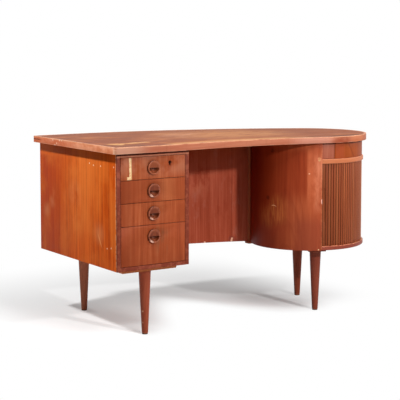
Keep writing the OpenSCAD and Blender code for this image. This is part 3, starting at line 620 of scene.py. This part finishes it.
def leg_finish():
    f = Finish("leg_teak", 0.12)
    timber(f, f.x + f.y * 0.8, f.z, ("702c1a", "8a3d26", "9f5237"), seed=31.0, rough=0.42,
           streaks=0.8)
    rub = f.grime(70.0)
    f.tint(f.up.between(9.0, 4.0) * rub.between(0.40, 0.58) * 0.7, "c48a66")
    f.tint(f.chips(9, (910, 37, 30), (146, 60, 90), (148, 62, 46), (922, 35, 120)), "c28a68")
    # Painted light on the two rear legs, which stand in shade, and painted shade on the front right
    # one
    rear = f.behind.between(290, 310)
    f.tint(rear * f.right.between(700, 300) * 0.85, "bb7255")
    f.tint(rear * f.right.between(300, 700) * 0.65, "b0644c")
    f.tint(f.right.between(700, 900) * f.behind.between(110, 90) * 0.5, "733629")
    f.tint(f.up.between(238.0, 246.0) * rub.between(0.3, 0.6) * 0.4, "a55c3a")
    return f.done()


def pull_finish():
    f = Finish("turned_pull_teak", 0.22)
    timber(f, f.x * 1.6, f.z * 1.6, ("4a190b", "672911", "84401f"), seed=35.0, rough=0.30,
           streaks=0.8)
    f.tint(f.up.between(598, 600) * 0.5, "8c4524")
    rub = f.grime(140.0)
    # Painted highlight along the front of the rim, broken up like rubbing
    f.tint(f.behind.between(-6.0, -6.9) * rub.between(0.30, 0.55) * 0.45, "b5694a")
    # Painted shade where the pull meets the drawer front and deep in the scoop
    f.tint(f.behind.between(-1.0, 6.0) * 0.7, "3c150a")
    # Painted light on the scoop's lower slope
    slope = f.marks(*((15, 159, None, middle - 13.0) for middle in PULL_HEIGHTS))
    f.tint(slope.clipped() * f.behind.between(-4.5, -1.0) * 0.6, "a8583a")
    # A painted highlight at the lower left of the rim, broken up like rubbing, but for the top pull
    painted_rim_highlight = 0.0
    for middle in PULL_HEIGHTS[:-1]:
        painted_rim_highlight = f.marks((9, 143.5, None, middle - 17.5), (7, 149.5, None, middle - 21.0)) + painted_rim_highlight
    f.tint(painted_rim_highlight.clipped() * rub.between(0.25, 0.5) * 0.8, "e8b9a4")
    return f.done()


def inside_finish():
    f = Finish("inside_veneer", 0.1)
    timber(f, f.x, f.z + f.y, ("8a4426", "ab5f38", "c27b50"), seed=41.0, leaf=0.19, pore=0.45,
           rough=0.5)
    return f.done()


def beech_finish():
    f = Finish("beech", 0.15)
    timber(f, f.z, f.y, ("b08658", "cba474", "dcbd92"), seed=44.0, pore=0.4, rough=0.52,
           streaks=0.9)
    f.tint(f.cloud(500.0, 120.0, 900.0).between(0.60, 0.72) * 0.3, "a5743f")
    f.tint(f.grime(7.0).between(0.5, 0.75) * 0.3, "b58a58")
    return f.done()


# Other finishes
def metal_finish(name, bright, dull):
    f = Finish(name, 0.4, metallic=1.0)
    dust = f.cloud(300.0, 300.0, 300.0, 3.0)
    f.shade = f.blend(dust.between(0.45, 0.75) * 0.6, bright, dull)
    # Painted shade of the keyhole: a dark spot on the lock
    f.tint(f.mark(14, 229, None, 656).between(0.1, 0.4), "140d09")
    f.rough(dust * 0.25 + 0.25)
    return f.done()


def canvas_finish():
    f = Finish("canvas", 0.2)
    arc = arc_length(f, OPENING_MIDDLE, CANVAS_R)
    warp, weft = ((run * 5200.0).math("SINE") for run in (arc, f.z))
    cloth = f.cloud(90.0, 90.0, 90.0, 3.0)
    f.shade = f.blend(cloth, "a8977a", "c9bb9d")
    f.relief(warp * weft, 0.0003, 0.5)
    f.rough(cloth * 0.1 + 0.85)
    return f.done()


def felt_finish():
    f = Finish("felt_glides", 0.15)
    fluff = f.cloud(900.0, 900.0, 900.0, 3.0, 0.7)
    f.shade = f.blend(fluff, "4a3a2f", "6b5747")
    f.relief(fluff, 0.0005)
    f.rough(fluff * 0.1 + 0.88)
    return f.done()


top_teak, edge_teak, side_teak = worktop_finish(), edge_finish(), side_finish()
drawer_teak, modesty_teak, shell_teak = drawer_finish(), modesty_finish(), shell_finish()
fascia_teak, slat_teak = fascia_finish(), tambour_finish()
rail_teak = rail_finish("bent_ring_rail", ("a1552f", "ba6c46", "cf8460"), 23.9)
nosing_teak = rail_finish("bent_base_nosing", ("73301f", "8c4232", "a05845"), 24.6)
dark_teak, leg_teak, pull_teak = dark_finish(), leg_finish(), pull_finish()
inside_teak, beech = inside_finish(), beech_finish()
brass = metal_finish("lock_brass", "a98a4e", "6d5531")
steel = metal_finish("screw_steel", "a6a39c", "5f5c57")
canvas, felt = canvas_finish(), felt_finish()


# Modelling helpers
def pick(piece=None):
    """Nothing is picked but this piece."""
    if bpy.context.object and bpy.context.object.mode != "OBJECT":
        bpy.ops.object.mode_set(mode="OBJECT")
    bpy.ops.object.select_all(action="DESELECT")
    if piece:
        piece.select_set(True)
        bpy.context.view_layer.objects.active = piece


def named(name):
    """The piece that was just added, with its name."""
    piece = bpy.context.object
    piece.name = piece.data.name = name
    return piece


def linked(name, data):
    """A new object of that data in the scene."""
    piece = bpy.data.objects.new(name, data)
    bpy.context.scene.collection.objects.link(piece)
    return piece


def seat(piece):
    """The piece's place goes into its mesh, so that its object sits at the origin."""
    pick(piece)
    bpy.ops.object.transform_apply(location=True, rotation=True, scale=True)


def tidy_mesh(piece):
    """Doubles merged, and faces turned outwards."""
    pick(piece)
    bpy.ops.object.mode_set(mode="EDIT")
    bpy.ops.mesh.select_all(action="SELECT")
    bpy.ops.mesh.remove_doubles(threshold=MERGED)
    bpy.ops.mesh.normals_make_consistent(inside=False)
    bpy.ops.object.mode_set(mode="OBJECT")


def smooth(piece, angle=35):
    """Smooth shading over edges that turn less than the angle."""
    pick(piece)
    bpy.ops.object.shade_smooth_by_angle(angle=math.radians(angle))


def modify(piece, kind, **settings):
    """A modifier of that kind, applied."""
    pick(piece)
    modifier = piece.modifiers.new("step", kind)
    for key, value in settings.items():
        setattr(modifier, key, value)
    bpy.ops.object.modifier_apply(modifier=modifier.name)


def soften(piece, width, steps=2):
    """Sharp edges get a rounding of that width."""
    modify(piece, "BEVEL", width=width, segments=steps, limit_method="ANGLE",
           angle_limit=math.radians(40), use_clamp_overlap=True)


def dress(piece, material, body, slot, node):
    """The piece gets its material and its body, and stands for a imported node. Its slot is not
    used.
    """
    piece.data.materials.clear()
    piece.data.materials.append(material)
    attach(piece, body)
    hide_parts(node)


def merged(node, name):
    """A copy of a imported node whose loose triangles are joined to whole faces."""
    piece = linked(name, nodes[node].data.copy())
    tidy_mesh(piece)
    bpy.ops.object.mode_set(mode="EDIT")
    bpy.ops.mesh.select_all(action="SELECT")
    bpy.ops.mesh.dissolve_limited(angle_limit=math.radians(0.6))
    bpy.ops.object.mode_set(mode="OBJECT")
    return piece


def round_corners(piece, chosen, width, steps=4):
    """The upright edges at the chosen places are rounded."""
    pick(piece)
    bpy.ops.object.mode_set(mode="EDIT")
    bpy.ops.mesh.select_mode(type="EDGE")
    bpy.ops.mesh.select_all(action="DESELECT")
    bpy.ops.object.mode_set(mode="OBJECT")
    points = piece.data.vertices
    for edge in piece.data.edges:
        a, b = (points[v].co for v in edge.vertices)
        upright = abs(a.x - b.x) < UPRIGHT and abs(a.y - b.y) < UPRIGHT
        edge.select = bool(upright and chosen(a))
    bpy.ops.object.mode_set(mode="EDIT")
    bpy.ops.mesh.bevel(offset=width, segments=steps)
    bpy.ops.object.mode_set(mode="OBJECT")


def eased(node, name, material, body, slot, width):
    """A board whose arrises are eased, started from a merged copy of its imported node."""
    piece = merged(node, name)
    soften(piece, width)
    smooth(piece)
    dress(piece, material, body, slot, node)


def shown(material, *packed):
    """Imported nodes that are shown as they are, in a better material."""
    for node in packed:
        nodes[node].data.materials.clear()
        nodes[node].data.materials.append(material)


def round_off(piece, outer, width, steps):
    """The outer or inner corners of a section, which stands on the X axis, are rounded."""
    pick(piece)
    bpy.ops.object.mode_set(mode="EDIT")
    bpy.ops.mesh.select_all(action="DESELECT")
    bpy.ops.object.mode_set(mode="OBJECT")
    points = piece.data.vertices
    edge = (max if outer else min)(v.co.x for v in points)
    for v in points:
        v.select = abs(v.co.x - edge) < SAME
    bpy.ops.object.mode_set(mode="EDIT")
    bpy.ops.mesh.select_mode(type="VERT")
    bpy.ops.mesh.bevel(offset=width, offset_type="OFFSET", segments=steps, affect="VERTICES")
    bpy.ops.object.mode_set(mode="OBJECT")


def spun_ring(name, r0, r1, z0, z1, nose, nose_steps):
    """A curved piece in front of the opening: its section, with rounded corners, is spun."""
    pick()
    bpy.ops.mesh.primitive_plane_add(size=1, location=(0, 0, 0), rotation=(pi / 2, 0, 0))
    piece = named(name)
    piece.scale = (r1 - r0, z1 - z0, 1)
    piece.location = ((r0 + r1) / 2, 0, (z0 + z1) / 2)
    seat(piece)
    round_off(piece, True, nose, nose_steps)
    round_off(piece, False, INNER_CORNER_R, 1)
    piece.rotation_euler = (0, 0, math.radians(OPEN_FROM))
    piece.location = (DRUM_X, DRUM_Y, 0)
    seat(piece)
    bpy.ops.object.mode_set(mode="EDIT")
    bpy.ops.mesh.select_all(action="SELECT")
    bpy.ops.mesh.spin(steps=96, angle=math.radians(OPEN_FROM - OPEN_TO), center=(DRUM_X, DRUM_Y, 0),
                      axis=(0, 0, 1))
    bpy.ops.object.mode_set(mode="OBJECT")
    tidy_mesh(piece)
    smooth(piece)
    return piece


def turned(name, rings, sides):
    """A piece turned on the Z axis: a disc that is extruded and resized ring by ring."""
    pick()
    (r, z), rest = rings[0], rings[1:]
    bpy.ops.mesh.primitive_circle_add(vertices=sides, radius=r, fill_type="NGON",
                                      location=(0, 0, z))
    piece = named(name)
    seat(piece)
    bpy.ops.object.mode_set(mode="EDIT")
    bpy.ops.mesh.select_all(action="SELECT")
    for r_next, z_next in rest:
        bpy.ops.mesh.extrude_region_move(TRANSFORM_OT_translate={"value": (0, 0, z_next - z)})
        bpy.ops.transform.resize(value=(r_next / r, r_next / r, 1), center_override=(0, 0, z_next))
        r, z = r_next, z_next
    bpy.ops.object.mode_set(mode="OBJECT")
    tidy_mesh(piece)
    return piece


# Worktop
shown(top_teak, "worktop_core")
band = merged("worktop_lipping", "worktop_edge_band")
band_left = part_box("worktop_lipping")[0].x
round_corners(band, lambda place: place.x < band_left + 0.0005, BAND_CORNER_R)
soften(band, BAND_EASE, 3)
smooth(band)
dress(band, edge_teak, "carcass", "teak_edge", "worktop_lipping")

# Pedestal and modesty panel
for node, name, material, slot, width in (
        ("left_side_panel", "left_side_board", side_teak, "teak_panel", BOARD_EASE),
        ("inner_side_panel", "inner_side_board", side_teak, "teak_panel", BOARD_EASE),
        ("side_front_lippings", "side_front_edges", dark_teak, "teak_dark", RAIL_EASE),
        ("pedestal_top_board", "upper_rail_board", dark_teak, "teak_dark", BOARD_EASE),
        ("pedestal_bottom_board", "lower_rail_board", dark_teak, "teak_dark", RAIL_EASE),
        ("modesty_panel", "bent_modesty_panel", modesty_teak, "teak_front", BOARD_EASE)):
    eased(node, name, material, "carcass", slot, width)
shown(beech, "drawer_runners")

# Drawers
for number in (1, 2, 3, 4):
    body = f"drawer_{number}"
    eased(f"{body}_front", f"{body}_veneered_front", drawer_teak, body, "teak_front", FRONT_EASE)
    eased(f"{body}_box", f"{body}_sides_and_back", beech, body, "beech", FRONT_EASE)
    shown(beech, f"{body}_bottom")
shown(brass, "lock_case")
shown(steel, "lock_bolt")


PULL_SIDES, PULL_EASE, PULL_PROUD = 72, 0.0005, 0.007


def turned_pull():
    """A pull on the Z axis: a disc with a round rim, a dished face and a scoop under a lip."""
    rim_r, rim_up, rim_half, dish_depth = 0.0241, 0.0046, 0.0024, 0.0016
    foot = [(0.0232, -0.0130), (0.0240, -0.0122), (0.0240, 0.0), (0.0260, 0.0), (0.0265, 0.0005)]
    rim = [(rim_r + rim_half * math.cos(a * pi / 12), rim_up + rim_half * math.sin(a * pi / 12))
           for a in range(7)]
    dish = [(rim_r * k / 8, rim_up + rim_half - dish_depth * (1 - (k / 8) ** 2))
            for k in (7, 6, 5, 4, 3, 2, 1)]
    pull = turned("turned_pull", foot + rim + dish, PULL_SIDES)
    # The scoop is a ball, less a box that leaves the lip standing over its upper half
    pick()
    bpy.ops.mesh.primitive_uv_sphere_add(segments=PULL_SIDES, ring_count=PULL_SIDES // 2,
                                         radius=0.0212, location=(0, 0, 0.0107))
    ball = named("scoop_ball")
    seat(ball)
    pick()
    bpy.ops.mesh.primitive_cube_add(size=1, location=(0, 0.0295, 0.0214))
    lip = named("scoop_lip")
    lip.scale = (0.08, 0.06, 0.04)
    seat(lip)
    modify(ball, "BOOLEAN", operation="DIFFERENCE", object=lip, solver="EXACT")
    modify(pull, "BOOLEAN", operation="DIFFERENCE", object=ball, solver="EXACT")
    for cutter in (ball, lip):
        bpy.data.objects.remove(cutter)
    tidy_mesh(pull)
    soften(pull, PULL_EASE)
    return pull


pattern = turned_pull()
for number in (1, 2, 3, 4):
    low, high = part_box(f"drawer_{number}_pull")
    pull = linked(f"scooped_pull_{number}", pattern.data.copy())
    pull.rotation_euler = (pi / 2, 0, 0)
    pull.location = ((low.x + high.x) / 2, low.y + PULL_PROUD, (low.z + high.z) / 2)
    seat(pull)
    smooth(pull, 30)
    dress(pull, pull_teak, f"drawer_{number}", "teak_dark", f"drawer_{number}_pull")
bpy.data.objects.remove(pattern)

# Bookcase on the visitor's side, and the drum's shells and leaves
for node, name, material, slot, width in (
        ("bookcase_bottom", "bookcase_floor_board", inside_teak, "teak_front", BOARD_EASE),
        ("left_divider", "left_upright", inside_teak, "teak_front", BOARD_EASE),
        ("right_divider", "right_upright", inside_teak, "teak_front", BOARD_EASE),
        ("bookcase_shelves", "book_shelves", inside_teak, "teak_front", BOARD_EASE),
        ("bookcase_end_post", "bookcase_end_board", dark_teak, "teak_dark", SHELL_EASE),
        ("knee_curved_panel", "knee_bent_panel", shell_teak, "teak_front", SHELL_EASE),
        ("rear_curved_panel", "rear_bent_panel", shell_teak, "teak_front", SHELL_EASE),
        ("junction_bead", "junction_strip", dark_teak, "teak_dark", BOARD_EASE),
        ("front_fascia", "front_fascia_leaf", fascia_teak, "teak_front", LEAF_EASE),
        ("side_fascia", "side_fascia_leaf", fascia_teak, "teak_front", LEAF_EASE)):
    eased(node, name, material, "carcass", slot, width)

# The drum's bent rails, boards and shelf
rail = spun_ring("bent_ring_rail", SHELL_IN, RAIL_R, RAIL_LOW.z, RAIL_HIGH.z, RAIL_NOSE_R, 6)
dress(rail, rail_teak, "carcass", "teak_edge", "ring_rail")
nosing = spun_ring("bent_base_nosing", SHELL_IN, SHELL_R, CASE_Z, NOSING_TOP, NOSING_NOSE_R, 5)
dress(nosing, nosing_teak, "carcass", "teak_dark", "base_nosing")
shown(dark_teak, "drum_base_board", "track_board", "drum_liner")
shown(beech, "crown_board", "panel_plugs", "tambour_stops")
eased("drum_shelf", "round_shelf", inside_teak, "carcass", "teak_front", BOARD_EASE)
shown(brass, "shelf_pins")

# Tambour
shown(canvas, "tambour_canvas")
for node, name, width in (("tambour_lead_stile", "tambour_leading_stile", SHELL_EASE),
                          ("tambour_slats", "tambour_half_round_slats", SLAT_EASE)):
    eased(node, name, slat_teak, "tambour", "teak_tambour", width)

# Stand
LEG_SIDES, LEG_FOOT_R, LEG_HEAD_R, LEG_MIDDLE_Z = 48, 0.0120, 0.02375, 0.1235
for name in ("front_left_leg", "rear_left_leg", "front_right_leg", "rear_right_leg"):
    low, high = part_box(name)
    leg = turned("turned_" + name, [(0.0105, 0.003), (0.0116, 0.0036), (LEG_FOOT_R, 0.0050),
                                    ((LEG_FOOT_R + LEG_HEAD_R) / 2, LEG_MIDDLE_Z),
                                    (LEG_HEAD_R, high.z)], LEG_SIDES)
    leg.location = ((low.x + high.x) / 2, (low.y + high.y) / 2, 0)
    seat(leg)
    smooth(leg)
    dress(leg, leg_teak, "carcass", "teak_leg", name)
for node, name in (("pedestal_leg_battens", "pedestal_battens"),
                   ("drum_leg_batten", "drum_batten")):
    eased(node, name, dark_teak, "carcass", "teak_dark", BATTEN_EASE)
shown(steel, "hanger_bolts", "wood_screws")
shown(felt, "leg_glides")


# Studio
def studio_floor():
    """White paper that keeps the desk's shadow where the desk stands and is plain white beyond."""
    pick()
    bpy.ops.mesh.primitive_grid_add(x_subdivisions=8, y_subdivisions=8, size=30, location=(0, 0, 0))
    floor = named("studio_floor")
    seat(floor)
    f = Finish("studio_paper", 0.0, roughness=1.0)
    path = f.add("ShaderNodeLightPath").socket.node.outputs
    seen = (Value(f, path["Is Camera Ray"]) + Value(f, path["Is Glossy Ray"])
            + Value(f, path["Is Transmission Ray"])).clipped()
    f.shade = f.blend(seen, "c8c8c8", "f6f6f6")
    # Share of the shadow that is kept, in an area under the desk and round two of its legs
    front = f.behind - f.right.near(540, 300) * 400.0
    kept = front.between(0, 300) * f.behind.between(1600, 800) * f.right.span(-300, -20, 850, 1450)
    kept = f.marks((110, 160, 120), (180, 945, 150)) * 0.6 + kept
    darkest = f.mark(260, 900, 320) * 0.13 + f.mark(300, 90, 400) * 0.07
    glow = f.add("ShaderNodeEmission", {}, {"Color": [1, 1, 1, 1], "Strength": 1.0})
    share = seen * (1.0 - kept.clipped() * 0.69 - darkest)
    mixed = f.add("ShaderNodeMixShader", {},
                  {"Fac": share, 1: Value(f, f.shader.outputs["BSDF"]), 2: glow}, out="Shader")
    f.tree.links.new(mixed.socket, f.tree.nodes["Material Output"].inputs["Surface"])
    floor.data.materials.append(f.done())


def lamp(name, size, power, place, target):
    """A round area lamp at a place, turned to a target."""
    data = bpy.data.lights.new(name, "AREA")
    data.shape, data.size, data.energy = "DISK", size, power
    light = linked(name, data)
    light.location = place
    light.rotation_euler = (target - place).to_track_quat("-Z", "Y").to_euler()


def white_world(lit, seen):
    """A white world of strength lit for the desk and of strength seen for eye and mirrors."""
    world = bpy.data.worlds.new("white_studio")
    bpy.context.scene.world = world
    world.use_nodes = True
    tree = world.node_tree
    path = tree.nodes.new("ShaderNodeLightPath")
    mix = tree.nodes.new("ShaderNodeMixShader")
    dim = tree.nodes["Background"]
    plain = tree.nodes.new("ShaderNodeBackground")
    for node, strength in ((dim, lit), (plain, seen)):
        node.inputs["Color"].default_value = (1, 1, 1, 1)
        node.inputs["Strength"].default_value = strength
    either = path.outputs["Is Camera Ray"]
    for ray in ("Is Glossy Ray", "Is Transmission Ray"):
        most = tree.nodes.new("ShaderNodeMath")
        most.operation = "MAXIMUM"
        tree.links.new(either, most.inputs[0])
        tree.links.new(path.outputs[ray], most.inputs[1])
        either = most.outputs["Value"]
    tree.links.new(either, mix.inputs["Fac"])
    tree.links.new(dim.outputs["Background"], mix.inputs[1])
    tree.links.new(plain.outputs["Background"], mix.inputs[2])
    tree.links.new(mix.outputs["Shader"], tree.nodes["World Output"].inputs["Surface"])


studio_floor()
lamp("low_front_lamp", 0.18, 61, at(1015, -2850, 1730), at(700, 250, 480))
lamp("high_front_softbox", 1.3, 39, at(620, -1800, 2750), at(620, 250, 400))
lamp("left_lamp", 0.3, 94, at(-1590, 150, 3200), at(0, 300, 650))
lamp("overhead_softbox", 2.2, 25, at(600, -350, 3300), at(600, 300, 400))
lamp("right_softbox", 1.4, 24, at(3700, -900, 1500), at(1150, 150, 450))
white_world(0.025, 1.0)

pick()
